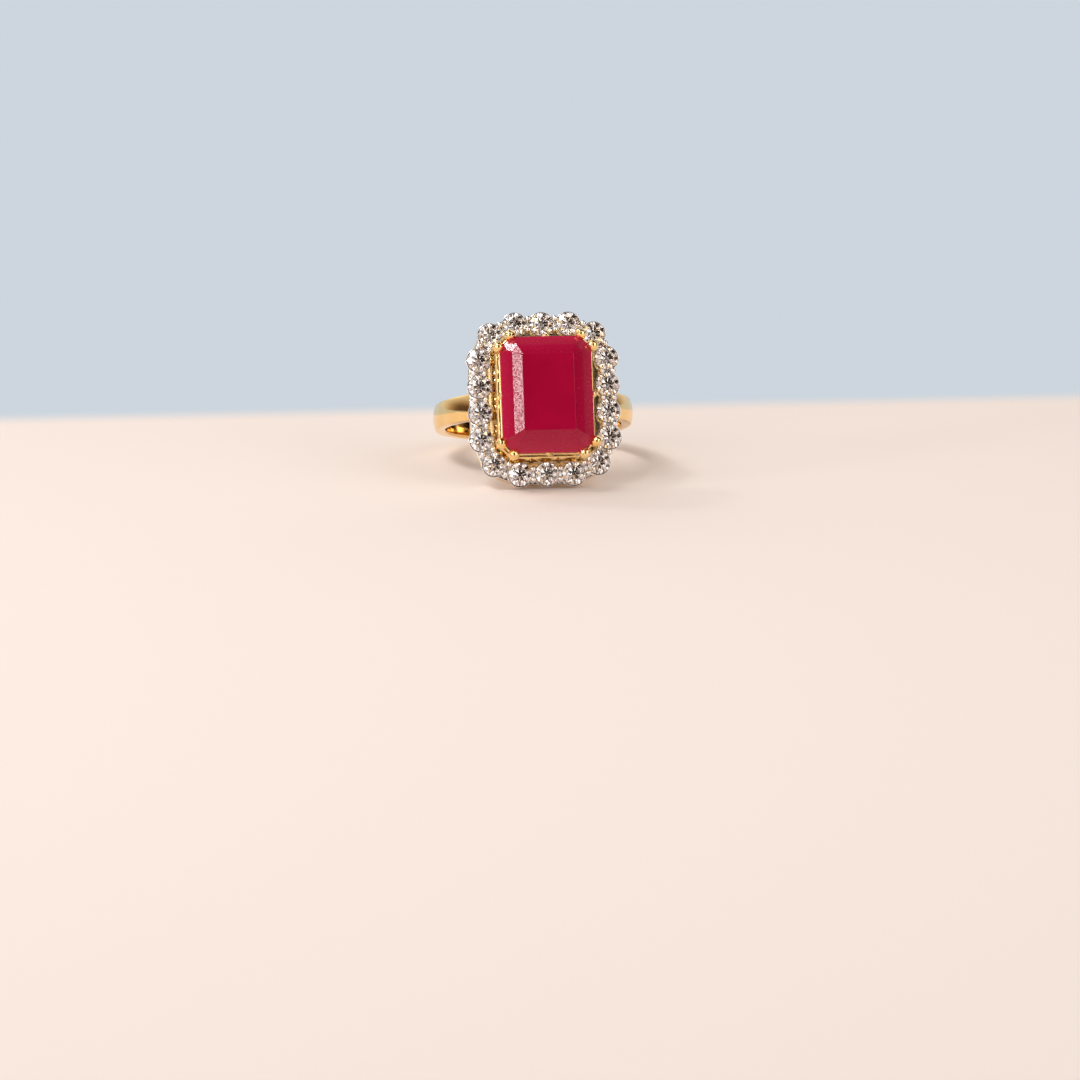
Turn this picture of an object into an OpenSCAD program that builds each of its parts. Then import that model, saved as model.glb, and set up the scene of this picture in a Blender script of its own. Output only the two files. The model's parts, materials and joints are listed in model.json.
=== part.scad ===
// Cocktail ring: an emerald-cut centre stone in a claw basket, a halo of round
// brilliants in shared claws, and a domed tapering band. The ring lies as it is
// laid down: on the lower edge of the halo's rail and on the back of the band.

/* [Band] */
// Inside diameter, the ring size
bore_d = 17; // [15:0.1:20]
// Thickness at the crown of the dome
shank_t = 1.2; // [1.1:0.05:1.6]
// Width at the back of the finger
shank_back_w = 2.2; // [1.8:0.1:2.4]
// Width under the head
shank_head_w = 2.6; // [2.4:0.1:3.4]
// Radius of the dome across the band
shank_dome_r = 3.4; // [3.2:0.1:6]
// Depth of the flat filed on the band for the head
seat_cut = 0.5; // [0.3:0.05:0.6]

/* [Centre stone] */
// Width at the girdle
stone_w = 8.6; // [8.2:0.1:9.4]
// Length at the girdle
stone_l = 11; // [10.4:0.1:11.6]
// Corner cut at the girdle
stone_corner = 1.1; // [0.9:0.05:1.4]
// Corner cut at the table
table_corner = 0.1; // [0.1:0.05:0.4]
// Girdle thickness
girdle_t = 0.3; // [0.15:0.05:0.4]
// Height of the girdle's underside above the band's flat
girdle_rise = 4.25; // [4:0.05:4.6]
// Outer crown step, width in plan
crown_outer_run = 1; // [0.8:0.05:1.1]
// Outer crown step, height
crown_outer_h = 1.2; // [0.9:0.05:1.3]
// Inner crown step, width in plan
crown_inner_run = 0.9; // [0.7:0.05:1]
// Inner crown step, height
crown_inner_h = 0.65; // [0.5:0.05:0.9]
// Upper pavilion step, width in plan
pavilion_upper_run = 1; // [0.8:0.05:1.2]
// Upper pavilion step, height
pavilion_upper_h = 1.1; // [0.9:0.05:1.2]
// Middle pavilion step, width in plan
pavilion_middle_run = 1.4; // [1.2:0.05:1.6]
// Middle pavilion step, height
pavilion_middle_h = 1.2; // [1:0.05:1.3]
// Lower pavilion step, height
pavilion_lower_h = 1.1; // [0.9:0.05:1.2]
// Width of the keel facet
keel_w = 0.15; // [0.1:0.05:0.3]

/* [Basket] */
// Diameter of a claw's stem
prong_d = 0.9; // [0.7:0.05:1]
// Diameter of a claw's tip
prong_tip_d = 1.1; // [1.05:0.05:1.3]
// How far a claw stands outside the stone's corner
prong_offset = 0.13; // [0.05:0.01:0.2]
// Height of a claw's tip above the girdle
prong_tip_rise = 0.1; // [0:0.05:0.3]
// How far a claw leans in on its way down to the band
prong_lean = 1; // [0.8:0.05:1.1]
// Diameter of the posts at the middle of each side
post_d = 0.8; // [0.6:0.05:0.9]
// Height of a post's point
post_point_h = 0.5; // [0.3:0.05:0.7]
// Width of the base rail
base_rail_w = 0.95; // [0.8:0.05:1.1]
// Height of the base rail
base_rail_h = 0.75; // [0.6:0.05:0.9]
// Height of the seat rail that carries the stone
seat_rail_h = 1.55; // [1.3:0.05:1.7]
// Width of the seat rail
seat_rail_w = 1.35; // [1.25:0.05:1.5]
// How far the seat rail shows outside the girdle
seat_rail_lip = 0.12; // [0.05:0.01:0.2]
// Depth of the seat rail's top edge below the girdle
seat_rail_drop = 0.1; // [0.05:0.05:0.2]

/* [Halo] */
// Diameter of a halo stone
diamond_d = 2.2; // [1.9:0.05:2.3]
// Height of the halo stones' girdles above the band's flat
halo_rise = 1.65; // [1.55:0.05:1.8]
// Distance from the centre stone's long edge to the halo's centre line
halo_offset_x = 1.76; // [1.7:0.01:1.9]
// Distance from the centre stone's short edge to the halo's centre line
halo_offset_y = 1.63; // [1.6:0.01:1.8]
// Distance from a side's centre line to the first stone of the top row
corner_span_x = 3.52; // [3.4:0.01:3.6]
// Distance from the top row's centre line to the first stone of a side
corner_span_y = 3.35; // [3.2:0.01:3.4]
// Corner stone, set in from the side's centre line
corner_in_x = 1.13; // [1:0.01:1.2]
// Corner stone, set in from the top row's centre line
corner_in_y = 0.99; // [0.9:0.01:1.1]
// Stones in the top row and in the bottom row
row_count = 3; // [3:1:3]
// Stones in each side
column_count = 4; // [4:1:4]
// Wall of a cup around its stone
cup_wall = 0.12; // [0.08:0.01:0.2]
// Depth of a cup's rim below its stone's girdle
cup_drop = 0.1; // [0.05:0.01:0.15]
// Radius of a cup at its foot
cup_foot_r = 0.95; // [0.8:0.05:1]
// Radius of the light hole under each stone
light_hole_r = 0.45; // [0.3:0.05:0.5]
// Thickness of the plate that joins the cups
plate_t = 0.3; // [0.2:0.05:0.35]
// Reach of that plate outside the halo's centre line
plate_reach = 0.9; // [0.8:0.05:0.9]
// Radius of a small claw's stem
claw_r = 0.25; // [0.2:0.01:0.26]
// Radius of a small claw's bead
bead_r = 0.3; // [0.28:0.01:0.32]
// Distance of a small claw from the halo's centre line
claw_offset = 0.52; // [0.45:0.01:0.56]
// Height of a bead's middle above the girdle of its stones
bead_rise = 0.17; // [0.1:0.01:0.2]

/* [Gallery] */
// Height of the rail under the halo
gallery_rail_h = 0.55; // [0.4:0.05:0.55]
// Reach of the rail outside the halo's centre line
gallery_reach = 0.93; // [0.85:0.01:0.95]
// Width of the rail
gallery_rail_w = 0.8; // [0.6:0.05:1]
// Width of a bridge between basket and rail
bridge_w = 0.5; // [0.4:0.05:0.7]
// Thickness of a bridge
bridge_t = 0.4; // [0.3:0.05:0.45]
// Distance of the bridges from the middle of the short sides
bridge_x = 1.3; // [1.1:0.05:1.5]
// Distance of the bridges from the middle of the long sides
bridge_y = 1.5; // [1.2:0.05:1.8]

// Height of the collar between basket and halo
collar_h = 0.95; // [0.4:0.05:1]
// Width of the collar
collar_w = 0.5; // [0.4:0.05:0.52]

/* [Fits] */
// Gap between the collar and the cups of the halo
collar_fit = 0.03; // [0.02:0.01:0.05]
// Gap between a halo stone and its setting
stone_fit = 0.015; // [0.01:0.005:0.03]

/* [Hidden] */
$fn = 64;
far = 40;
bore_r = bore_d / 2;
shank_r = bore_r + shank_t;
seat_z = shank_r - seat_cut;

// Half width of the band at a height above the finger's centre
function shank_half_w(z) =
    (shank_head_w + shank_back_w) / 4 + (shank_head_w - shank_back_w) / 4 * z / shank_r;

// Corner shrink of an octagon whose sides all move in by one unit
corner_shrink = 2 - sqrt(2);

// Outline with cut corners, clockwise from the top right
function octagon(half_w, half_l, corner) = [
    [half_w - corner, half_l],
    [half_w, half_l - corner],
    [half_w, corner - half_l],
    [half_w - corner, -half_l],
    [corner - half_w, -half_l],
    [-half_w, corner - half_l],
    [-half_w, half_l - corner],
    [corner - half_w, half_l]
];

// The same outline moved outwards, or inwards where grow is below zero
function grown_octagon(half_w, half_l, corner, grow) =
    octagon(half_w + grow, half_l + grow, corner + corner_shrink * grow);

// Closed clockwise outline moved outwards, or inwards where grow is below zero
function grown_path(path, grow) = [
    for (i = [0:len(path) - 1])
        let (
            before = path[i] - path[(i + len(path) - 1) % len(path)],
            after = path[(i + 1) % len(path)] - path[i],
            a = [-before.y, before.x] / norm(before),
            b = [-after.y, after.x] / norm(after)
        )
        path[i] + grow * (a + b) / (1 + a * b)
];

// Levels of the centre stone, from the finger's centre
stone_half_w = stone_w / 2;
stone_half_l = stone_l / 2;
girdle_z = seat_z + girdle_rise;
girdle_top_z = girdle_z + girdle_t;
crown_run = crown_outer_run + crown_inner_run;
break_corner = stone_corner + (table_corner - stone_corner) * crown_outer_run / crown_run;
table_z = girdle_top_z + crown_outer_h + crown_inner_h;
table_half_l = stone_half_l - crown_run;
pavilion_run = pavilion_upper_run + pavilion_middle_run;
keel_run = stone_half_w - keel_w / 2;
keel_z = girdle_z - pavilion_upper_h - pavilion_middle_h - pavilion_lower_h;

// Corner cut of the pavilion, down to a sharp keel
function pavilion_corner(run) = stone_corner + (keel_w / 4 - stone_corner) * run / keel_run;

// One level of the centre stone: run in from the girdle, corner cut and height
stone_levels = [
    [crown_run, table_corner, table_z],
    [crown_outer_run, break_corner, girdle_top_z + crown_outer_h],
    [0, stone_corner, girdle_top_z],
    [0, stone_corner, girdle_z],
    [pavilion_upper_run, pavilion_corner(pavilion_upper_run), girdle_z - pavilion_upper_h],
    [pavilion_run, pavilion_corner(pavilion_run), keel_z + pavilion_lower_h],
    [keel_run, keel_w / 4, keel_z]
];

// Claws, in pairs at the stone's corners
prong_tip_z = girdle_top_z + prong_tip_rise;
prong_height = prong_tip_z - seat_z;
prong_tips = octagon(stone_half_w + prong_offset, stone_half_l + prong_offset, stone_corner);

// Lean of the basket at a height above the finger's centre
function lean_at(z) = prong_lean * (prong_tip_z - z) / prong_height;

// Inward signs of a point, so that each claw leans towards the middle
function inward(p) = [p.x > 0 ? -1 : 1, p.y > 0 ? -1 : 1];

// Base rail, under the feet of the claws
base_half_w = stone_half_w + prong_offset - prong_lean;
base_half_l = stone_half_l + prong_offset - prong_lean;

// Posts, at the middle of the four sides
post_top_z = girdle_z - seat_rail_drop;
post_sides = [[0, 1], [1, 0], [0, -1], [-1, 0]];

// Middle of a post at a height above the finger's centre
function post_at(side, z) = [
    side.x * (base_half_w + prong_lean - lean_at(z)),
    side.y * (base_half_l + prong_lean - lean_at(z)),
    z
];

// Halo stones, clockwise from the top left
halo_z = seat_z + halo_rise;
column_x = stone_half_w + halo_offset_x;
row_y = stone_half_l + halo_offset_y;
row_end = column_x - corner_span_x;
column_end = row_y - corner_span_y;
corner_spot = [column_x - corner_in_x, row_y - corner_in_y];
halo_half = concat(
    [for (i = [0:row_count - 1]) [row_end * (2 * i / (row_count - 1) - 1), row_y]],
    [corner_spot],
    [for (i = [0:column_count - 1]) [column_x, column_end * (1 - 2 * i / (column_count - 1))]],
    [[corner_spot.x, -corner_spot.y]]
);
halo_spots = concat(halo_half, [for (p = halo_half) -p]);
diamond_count = len(halo_spots);
halo_corner = corner_in_x + corner_in_y;

// The halo's centre line, clockwise from the top left
path_half = [
    [-row_end, row_y],
    [row_end, row_y],
    corner_spot,
    [column_x, column_end],
    [column_x, -column_end],
    [corner_spot.x, -corner_spot.y]
];
halo_path = concat(path_half, [for (p = path_half) -p]);

// Proportions of a round brilliant, as shares of its diameter
table_share = 0.57;
crown_share = 0.15;
girdle_share = 0.03;
pavilion_share = 0.43;
star_share = 0.385;
lower_half_share = 0.12;
diamond_r = diamond_d / 2;
diamond_table_r = diamond_d * table_share / 2;
diamond_girdle_t = diamond_d * girdle_share;
diamond_crown_h = diamond_d * crown_share;
diamond_pavilion_h = diamond_d * pavilion_share;

// Settings of the halo
cup_r = diamond_r + cup_wall;
cup_z = halo_z - cup_drop;
gallery_z = seat_z;
plate_z = gallery_z + gallery_rail_h;

// Place of the small claw between one stone and the next
function claw_spot(i, offset) =
    let (
        a = halo_spots[i],
        b = halo_spots[(i + 1) % diamond_count],
        along = (b - a) / norm(b - a)
    )
    (a + b) / 2 + offset * [-along.y, along.x];

// How the ring lies: on the rail's lower edge and on the band's back edge
back_half_w = shank_half_w(-shank_r);
back_edge_r = shank_r - shank_dome_r + sqrt(pow(shank_dome_r, 2) - pow(back_half_w, 2));
rest_half_l = row_y + gallery_reach;
rest_tilt = atan2(rest_half_l - back_half_w, gallery_z + back_edge_r);
floor_z = gallery_z * sin(rest_tilt) - rest_half_l * cos(rest_tilt);
back_y = back_half_w * sin(rest_tilt) + back_edge_r * cos(rest_tilt);
front_y = -table_half_l * sin(rest_tilt) - table_z * cos(rest_tilt);

function numbered(name, i) = str(name, i < 9 ? "_0" : "_", i + 1);
post_names = ["post_top", "post_right", "post_bottom", "post_left"];

yellow_gold = "goldenrod";
white_gold = "gainsboro";

// From the head's own axes to the ring lying on its table
module laid_down() {
    translate([0, -(back_y + front_y) / 2, -floor_z])
        rotate([90 - rest_tilt, 0, 0])
            children();
}

// Round rod from one point to another
module rod(from, to, r) {
    step = to - from;
    translate(from)
        rotate([0, acos(step.z / norm(step)), atan2(step.y, step.x)])
            cylinder(h = norm(step), r = r);
}

// Rail between two outlines, standing on a height
module rail(outer, inner, z, h) {
    translate([0, 0, z])
        linear_extrude(h)
            difference() {
                polygon(outer);
                polygon(inner);
            }
}

// Closed solid from rings of points, each clockwise from above, the first on top
module ring_stack(rings) {
    count = len(rings[0]);
    last = len(rings) - 1;
    points = [for (ring = rings) each ring];
    sides = [
        for (level = [0:last - 1])
            for (k = [0:count - 1])
                let (next = (k + 1) % count)
                [
                    level * count + next,
                    level * count + k,
                    (level + 1) * count + k,
                    (level + 1) * count + next
                ]
    ];
    top = [for (k = [0:count - 1]) k];
    bottom = [for (k = [count - 1:-1:0]) last * count + k];
    polyhedron(points, concat([top], sides, [bottom]), convexity = 2);
}

// Body of the centre stone
module stone_body() {
    ring_stack([
        for (level = stone_levels)
            [
                for (p = octagon(stone_half_w - level[0], stone_half_l - level[0], level[1]))
                    [p.x, p.y, level[2]]
            ]
    ]);
}

// Stem and tip of a claw before it is cut to the stone
module prong_body(i) {
    tip = prong_tips[i];
    foot = tip + inward(tip) * prong_lean;
    foot_point = [foot.x, foot.y, seat_z];
    tip_point = [tip.x, tip.y, prong_tip_z];
    rod(foot_point * 2 - tip_point, tip_point, prong_d / 2);
    translate(tip_point)
        sphere(d = prong_tip_d);
}

// Stem and point of a post before it is cut to the stone
module post_body(side) {
    top = post_at(side, post_top_z);
    rod(2 * post_at(side, seat_z) - top, top, post_d / 2);
    translate(top)
        cylinder(h = post_point_h, r1 = post_d / 2, r2 = post_d / 8);
}

// All that stands below the band's flat
module below_seat() {
    translate([-far / 2, -far / 2, seat_z - far])
        cube(far);
}

// Space that a halo stone takes in its setting
module diamond_space(spot) {
    z = halo_z;
    translate([spot.x, spot.y, 0])
        rotate_extrude()
            polygon([
                [0, z - diamond_pavilion_h - stone_fit],
                [diamond_r + stone_fit, z],
                [diamond_r + stone_fit, z + diamond_girdle_t],
                [diamond_table_r + stone_fit, z + diamond_girdle_t + diamond_crown_h],
                [0, z + diamond_girdle_t + diamond_crown_h]
            ]);
}

// Stem and bead of a small claw
module claw_body(spot) {
    bead_z = halo_z + bead_rise;
    foot_z = plate_z + plate_t;
    translate([spot.x, spot.y, foot_z])
        cylinder(h = bead_z - foot_z, r = claw_r);
    translate([spot.x, spot.y, bead_z])
        sphere(bead_r);
}

// Ring of small claws on one side of the halo's centre line
module claw_ring(offset) {
    for (i = [0:diamond_count - 1])
        difference() {
            claw_body(claw_spot(i, offset));
            diamond_space(halo_spots[i]);
            diamond_space(halo_spots[(i + 1) % diamond_count]);
        }
}

module shank() {
    reach = shank_r + shank_t;
    color(yellow_gold)
        laid_down()
            difference() {
                intersection() {
                    rotate([90, 0, 0])
                        rotate_extrude()
                            translate([shank_r - shank_dome_r, 0])
                                circle(shank_dome_r);
                    rotate([90, 0, 90])
                        linear_extrude(2 * reach, center = true)
                            polygon([
                                [shank_half_w(reach), reach],
                                [-shank_half_w(reach), reach],
                                [-shank_half_w(-reach), -reach],
                                [shank_half_w(-reach), -reach]
                            ]);
                }
                rotate([90, 0, 0])
                    cylinder(h = far, r = bore_r, center = true);
                translate([-far / 2, -far / 2, seat_z])
                    cube(far);
            }
}

module base_rail() {
    color(yellow_gold)
        laid_down()
            difference() {
                rail(
                    octagon(base_half_w, base_half_l, stone_corner),
                    grown_octagon(base_half_w, base_half_l, stone_corner, -base_rail_w),
                    seat_z,
                    base_rail_h
                );
                for (i = [0:len(prong_tips) - 1])
                    prong_body(i);
                for (side = post_sides)
                    post_body(side);
            }
}

module seat_rail() {
    half_w = stone_half_w + seat_rail_lip;
    half_l = stone_half_l + seat_rail_lip;
    color(yellow_gold)
        laid_down()
            difference() {
                rail(
                    octagon(half_w, half_l, stone_corner),
                    grown_octagon(half_w, half_l, stone_corner, -seat_rail_w),
                    girdle_z - seat_rail_drop - seat_rail_h,
                    seat_rail_h
                );
                stone_body();
                for (i = [0:len(prong_tips) - 1])
                    prong_body(i);
                for (side = post_sides)
                    post_body(side);
            }
}

module gallery_rail() {
    color(yellow_gold)
        laid_down()
            rail(
                grown_path(halo_path, gallery_reach),
                grown_path(halo_path, gallery_reach - gallery_rail_w),
                gallery_z,
                gallery_rail_h
            );
}

module halo_collar() {
    reach = -cup_r - collar_fit;
    color(yellow_gold)
        laid_down()
            rail(
                grown_octagon(column_x, row_y, halo_corner, reach),
                grown_octagon(column_x, row_y, halo_corner, reach - collar_w),
                plate_z,
                collar_h
            );
}

module gallery_bridges() {
    z = plate_z - bridge_t;
    inner_x = column_x + gallery_reach - gallery_rail_w;
    inner_y = row_y + gallery_reach - gallery_rail_w;
    color(yellow_gold)
        laid_down()
            for (turn = [1, -1])
                for (side = [1, -1]) {
                    translate([turn * bridge_x - bridge_w / 2, side > 0 ? base_half_l : -inner_y, z])
                        cube([bridge_w, inner_y - base_half_l, bridge_t]);
                    translate([side > 0 ? base_half_w : -inner_x, turn * bridge_y - bridge_w / 2, z])
                        cube([inner_x - base_half_w, bridge_w, bridge_t]);
                }
}

module prong(i) {
    color(yellow_gold)
        laid_down()
            difference() {
                prong_body(i);
                below_seat();
                stone_body();
            }
}

module post(side) {
    color(yellow_gold)
        laid_down()
            difference() {
                post_body(side);
                below_seat();
                stone_body();
            }
}

module center_stone() {
    color("crimson")
        laid_down()
            stone_body();
}

module halo_frame() {
    color(white_gold)
        laid_down()
            difference() {
                union() {
                    for (spot = halo_spots)
                        translate([spot.x, spot.y, plate_z])
                            cylinder(h = cup_z - plate_z, r1 = cup_foot_r, r2 = cup_r);
                    rail(
                        grown_path(halo_path, plate_reach),
                        grown_octagon(column_x, row_y, halo_corner, -cup_r),
                        plate_z,
                        plate_t
                    );
                }
                for (spot = halo_spots) {
                    diamond_space(spot);
                    translate([spot.x, spot.y, 0])
                        cylinder(h = halo_z, r = light_hole_r);
                }
                for (i = [0:diamond_count - 1])
                    for (offset = [claw_offset, -claw_offset])
                        claw_body(claw_spot(i, offset));
            }
}

module halo_claws_outer() {
    color(white_gold)
        laid_down()
            claw_ring(claw_offset);
}

module halo_claws_inner() {
    color(white_gold)
        laid_down()
            claw_ring(-claw_offset);
}

// Round brilliant: table, stars, kites, halves and pavilion mains
module diamond(i) {
    star_r = diamond_d * star_share;
    lower_r = diamond_d * lower_half_share;
    half_turn = 22.5;
    top_z = diamond_girdle_t + diamond_crown_h;
    star_reach = star_r * cos(half_turn);
    star_z = top_z - diamond_crown_h * (star_reach - diamond_table_r) / (diamond_r - diamond_table_r);
    lower_z = diamond_pavilion_h * (lower_r * cos(half_turn) / diamond_r - 1);
    points = concat(
        [for (k = [0:7]) [diamond_table_r * cos(45 * k), diamond_table_r * sin(45 * k), top_z]],
        [for (k = [0:7]) let (a = 45 * k + half_turn) [star_r * cos(a), star_r * sin(a), star_z]],
        [for (k = [0:15]) let (a = half_turn * k) [diamond_r * cos(a), diamond_r * sin(a), diamond_girdle_t]],
        [for (k = [0:15]) let (a = half_turn * k) [diamond_r * cos(a), diamond_r * sin(a), 0]],
        [for (k = [0:7]) let (a = 45 * k + half_turn) [lower_r * cos(a), lower_r * sin(a), lower_z]],
        [[0, 0, -diamond_pavilion_h]]
    );
    star = 8;
    upper = 16;
    lower = 32;
    pavilion = 48;
    culet = 56;
    faces = concat(
        [[7, 6, 5, 4, 3, 2, 1, 0]],
        [for (k = [0:7]) [k, (k + 1) % 8, star + k]],
        [for (k = [0:7]) [k, star + k, upper + 2 * k, star + (k + 7) % 8]],
        [for (k = [0:7]) [star + k, upper + 2 * k + 1, upper + 2 * k]],
        [for (k = [0:7]) [star + k, upper + (2 * k + 2) % 16, upper + 2 * k + 1]],
        [for (k = [0:15]) [upper + k, upper + (k + 1) % 16, lower + (k + 1) % 16, lower + k]],
        [for (k = [0:7]) [lower + 2 * k, lower + 2 * k + 1, pavilion + k]],
        [for (k = [0:7]) [lower + 2 * k + 1, lower + (2 * k + 2) % 16, pavilion + k]],
        [for (k = [0:7]) [lower + 2 * k, pavilion + k, culet, pavilion + (k + 7) % 8]]
    );
    spot = halo_spots[i];
    color("white")
        laid_down()
            translate([spot.x, spot.y, halo_z])
                polyhedron(points, faces, convexity = 2);
}

shank();
base_rail();
seat_rail();
gallery_rail();
gallery_bridges();
halo_collar();
center_stone();
halo_frame();
halo_claws_outer();
halo_claws_inner();
for (i = [0:len(prong_tips) - 1])
    prong(i);
for (i = [0:len(post_sides) - 1])
    post(post_sides[i]);
for (i = [0:diamond_count - 1])
    diamond(i);
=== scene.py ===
import bpy
import json
import math
from mathutils import Matrix, Quaternion, Vector


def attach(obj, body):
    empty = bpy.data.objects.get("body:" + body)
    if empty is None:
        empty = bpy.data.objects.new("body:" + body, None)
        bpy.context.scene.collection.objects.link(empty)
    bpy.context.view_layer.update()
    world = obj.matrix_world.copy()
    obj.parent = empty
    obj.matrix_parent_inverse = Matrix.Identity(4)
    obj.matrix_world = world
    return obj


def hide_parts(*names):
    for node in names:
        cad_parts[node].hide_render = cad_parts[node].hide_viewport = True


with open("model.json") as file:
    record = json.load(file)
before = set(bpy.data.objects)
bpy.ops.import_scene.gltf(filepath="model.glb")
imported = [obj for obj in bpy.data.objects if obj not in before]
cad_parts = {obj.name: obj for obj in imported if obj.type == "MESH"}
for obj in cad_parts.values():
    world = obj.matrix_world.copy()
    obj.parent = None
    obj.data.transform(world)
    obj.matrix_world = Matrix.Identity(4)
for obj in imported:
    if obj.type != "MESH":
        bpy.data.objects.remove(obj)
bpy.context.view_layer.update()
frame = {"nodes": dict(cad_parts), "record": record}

nodes = frame["nodes"]
scene = bpy.context.scene

# the finger hole gives the ring's own axes: x across, y along the finger, z out of the face
fingerHole = frame["record"]["mounts"][0]
fingerAxis = Vector(fingerHole["axis"]).normalized()
acrossAxis = Vector((1, 0, 0))
faceAxis = acrossAxis.cross(fingerAxis)
ringAxes = Matrix((acrossAxis, fingerAxis, faceAxis)).transposed().to_4x4()
ringAxes.translation = Vector(fingerHole["pos_m"])

# camera: where the finger hole's middle sits in the picture, and from which side
cameraValues = {
    "yawDegrees": 5.92,
    "elevationDegrees": 12.0,
    "distance": 0.363,
    "focalPixels": 3740,
    "framePixels": 1080,
    "holePixel": (533.0, 416.0),
    "sensorWidth": 36.0,
    "clip": (0.01, 20),
}


def makeCamera(values):
    yaw = math.radians(values["yawDegrees"])
    elevation = math.radians(values["elevationDegrees"])
    level = Vector((-math.sin(yaw), -math.cos(yaw), 0))
    back = level * math.cos(elevation) + Vector((0, 0, math.sin(elevation)))
    half = values["framePixels"] / 2
    pixelX, pixelY = values["holePixel"]
    pan = math.atan((pixelX - half) / values["focalPixels"])
    tilt = math.atan((half - pixelY) / values["focalPixels"])
    bpy.ops.object.camera_add(location=ringAxes.translation + back * values["distance"])
    camera = bpy.context.object
    camera.name = "photoCamera"
    aim = (-back).to_track_quat("-Z", "Y")
    turn = Quaternion((1, 0, 0), -tilt) @ Quaternion((0, 1, 0), pan)
    camera.rotation_euler = (aim @ turn).to_euler()
    camera.data.sensor_width = values["sensorWidth"]
    camera.data.lens = values["focalPixels"] * values["sensorWidth"] / values["framePixels"]
    camera.data.clip_start, camera.data.clip_end = values["clip"]
    scene.camera = camera


bpy.ops.object.select_all(action="DESELECT")
makeCamera(cameraValues)
print("camera placed")


def setRange(ramp, limits):
    ramp.inputs["From Min"].default_value, ramp.inputs["From Max"].default_value = limits


def newMaterial(name):
    material = bpy.data.materials.new(name)
    material.use_nodes = True
    shader = material.node_tree.nodes["Principled BSDF"]
    return material, material.node_tree, shader


# polish marks: soft cloudy wear and fine wheel lines, for every polished surface
markValues = {
    "inputs": {"Cloud Scale": 500.0, "Line Scale": 9000.0, "Smooth": 0.05, "Worn": 0.15},
    "cloudDetail": 3,
    "lineDetail": 2,
    "lineTurn": (0.4, 0.3, 0.7),
    "lineStretch": (1, 0.12, 1),
    "wearRange": (0.12, 0.42),
}


def makePolishMarks(values):
    group = bpy.data.node_groups.new("polishMarks", "ShaderNodeTree")
    for name, level in values["inputs"].items():
        socket = group.interface.new_socket(name, in_out="INPUT", socket_type="NodeSocketFloat")
        socket.default_value = level
    for name in ("Roughness", "Height", "Cloud"):
        group.interface.new_socket(name, in_out="OUTPUT", socket_type="NodeSocketFloat")
    start = group.nodes.new("NodeGroupInput")
    end = group.nodes.new("NodeGroupOutput")
    place = group.nodes.new("ShaderNodeTexCoord")
    cloud = group.nodes.new("ShaderNodeTexNoise")
    cloud.inputs["Detail"].default_value = values["cloudDetail"]
    group.links.new(place.outputs["Object"], cloud.inputs["Vector"])
    group.links.new(start.outputs["Cloud Scale"], cloud.inputs["Scale"])
    stretch = group.nodes.new("ShaderNodeMapping")
    stretch.inputs["Rotation"].default_value = values["lineTurn"]
    stretch.inputs["Scale"].default_value = values["lineStretch"]
    lines = group.nodes.new("ShaderNodeTexNoise")
    lines.inputs["Detail"].default_value = values["lineDetail"]
    group.links.new(place.outputs["Object"], stretch.inputs["Vector"])
    group.links.new(stretch.outputs["Vector"], lines.inputs["Vector"])
    group.links.new(start.outputs["Line Scale"], lines.inputs["Scale"])
    wear = group.nodes.new("ShaderNodeMath")
    wear.operation = "MULTIPLY"
    group.links.new(cloud.outputs["Fac"], wear.inputs[0])
    group.links.new(lines.outputs["Fac"], wear.inputs[1])
    spread = group.nodes.new("ShaderNodeMapRange")
    setRange(spread, values["wearRange"])
    group.links.new(wear.outputs[0], spread.inputs["Value"])
    group.links.new(start.outputs["Smooth"], spread.inputs["To Min"])
    group.links.new(start.outputs["Worn"], spread.inputs["To Max"])
    group.links.new(spread.outputs["Result"], end.inputs["Roughness"])
    group.links.new(lines.outputs["Fac"], end.inputs["Height"])
    group.links.new(cloud.outputs["Fac"], end.inputs["Cloud"])
    return group


polishMarks = makePolishMarks(markValues)

# finishes: every colour drifts between a deep and a light tone as the polish clouds do
toneRange = (0.35, 0.65)
goldValues = {
    "deep": (0.97, 0.635, 0.25),
    "light": (1.0, 0.725, 0.345),
    "cloudScale": 450,
    "lineScale": 9000,
    "smooth": 0.05,
    "worn": 0.16,
    "lineDepth": 0.0000012,
}
whiteValues = {
    "deep": (0.84, 0.78, 0.74),
    "light": (0.95, 0.92, 0.90),
    "cloudScale": 450,
    "lineScale": 9000,
    "smooth": 0.10,
    "worn": 0.26,
    "lineDepth": 0.0000015,
}
redValues = {
    "deep": (0.31, 0.0021, 0.0265),
    "light": (0.36, 0.0029, 0.0325),
    "edge": (0.46, 0.010, 0.053),  # painted light: a lighter red mixed in this far below the table, standing in for light glowing through the thin stone at the girdle
    "paintedGlowDepth": 0.0019,
    "refraction": 1.55,
    "gloss": 0.25,
    "cloudScale": 260,
    "lineScale": 5000,
    "smooth": 0.04,
    "worn": 0.09,
    "grainScale": 6500.0,
    "grainDetail": 1,
    "grainDepth": 0.000005,
    "grainRange": (0.46, 0.62),
    "grainWear": 0.21,
    "grainStart": 0.02,  # share of the painted glow's depth below which the grain shows
}
clearValues = {
    "deep": (0.96, 0.86, 0.845),
    "light": (1.0, 0.955, 0.945),
    "refraction": 2.42,
    "cloudScale": 380,
    "lineScale": 4000,
    "smooth": 0.0,
    "worn": 0.015,
}


def mixedColour(tree, source, deep, light):
    ramp = tree.nodes.new("ShaderNodeMapRange")
    setRange(ramp, toneRange)
    mix = tree.nodes.new("ShaderNodeMix")
    mix.data_type = "RGBA"
    mix.inputs["A"].default_value = (*deep, 1)
    mix.inputs["B"].default_value = (*light, 1)
    tree.links.new(source, ramp.inputs["Value"])
    tree.links.new(ramp.outputs["Result"], mix.inputs["Factor"])
    return mix.outputs["Result"]


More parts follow.
